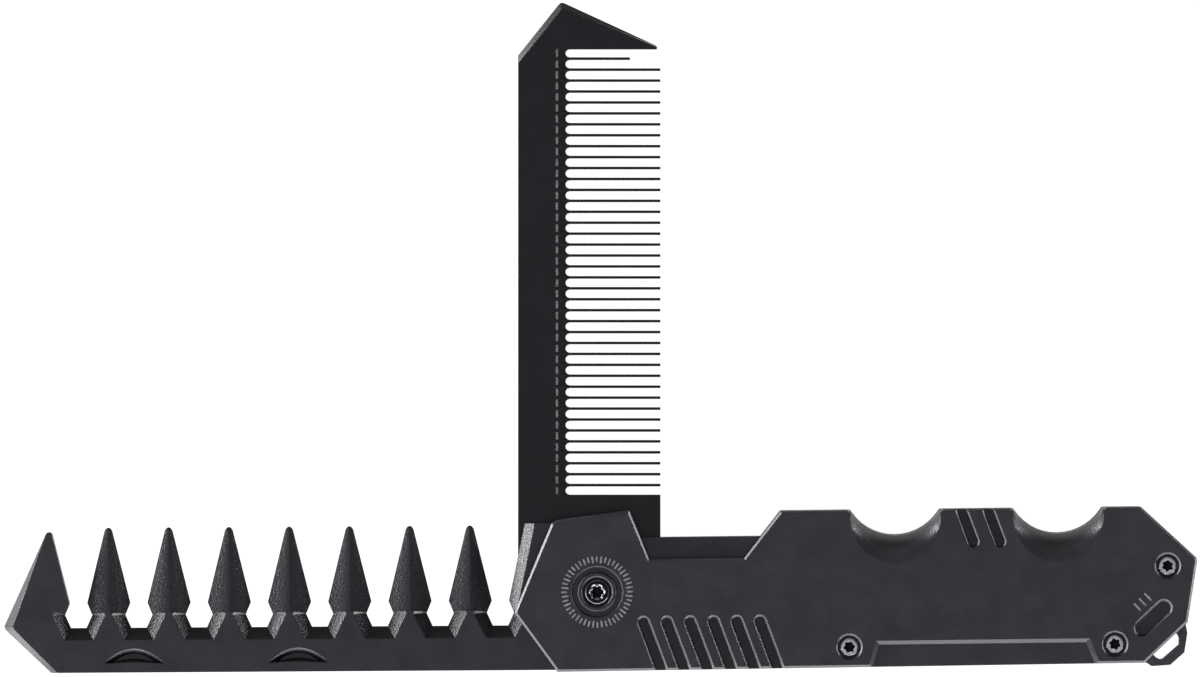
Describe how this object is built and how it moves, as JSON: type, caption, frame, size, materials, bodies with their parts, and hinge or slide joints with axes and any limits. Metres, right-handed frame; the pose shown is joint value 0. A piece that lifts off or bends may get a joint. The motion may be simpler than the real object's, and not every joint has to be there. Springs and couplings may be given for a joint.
{
  "type": "folding comb",
  "caption": "Black folding pocket comb: a knife-like handle with finger scallops, a wide-tooth comb with arrow-shaped teeth and a fine-tooth comb that fold into it on one pivot.",
  "frame": {"origin": "on the pivot's axis, at the flat back face that the comb lies on", "axes": "+X along the handle from the pivot to the lanyard loop, +Y to the handle's open edge, where the combs come out, +Z the thickness, from the back face to the face with the grooves"},
  "size_m": [0.2208, 0.1242, 0.0143],
  "materials": {
    "handle_plastic": "moulded black nylon, satin, with a very fine grain along the handle",
    "liner_plastic": "moulded black nylon, satin",
    "wide_plastic": "moulded black nylon, satin faces with spark-textured facets between the teeth",
    "fine_plastic": "moulded black nylon, smooth satin",
    "screw_steel": "blackened steel, satin"
  },
  "bodies": {
    "handle": {"front_scale": "handle_plastic", "back_scale": "handle_plastic", "front_liner": "liner_plastic", "back_liner": "liner_plastic", "spine_spacer": "liner_plastic", "pivot_screw": "screw_steel", "pivot_nut": "screw_steel", "screw_front_1": "screw_steel", "screw_front_2": "screw_steel", "screw_front_3": "screw_steel", "screw_back_1": "screw_steel", "screw_back_2": "screw_steel", "screw_back_3": "screw_steel"},
    "wide_blade": {"wide_comb": "wide_plastic"},
    "fine_blade": {"fine_comb": "fine_plastic"}
  },
  "joints": [
    {"name": "wide_fold", "type": "hinge", "parent": "handle", "child": "wide_blade", "pos_m": [0, 0, 0.00855], "axis": [0, 0, 1], "range_deg": [-179.7, 0]},
    {"name": "fine_fold", "type": "hinge", "parent": "handle", "child": "fine_blade", "pos_m": [0, 0, 0.0054], "axis": [0, 0, 1], "range_deg": [-89.35, 90]}
  ]
}
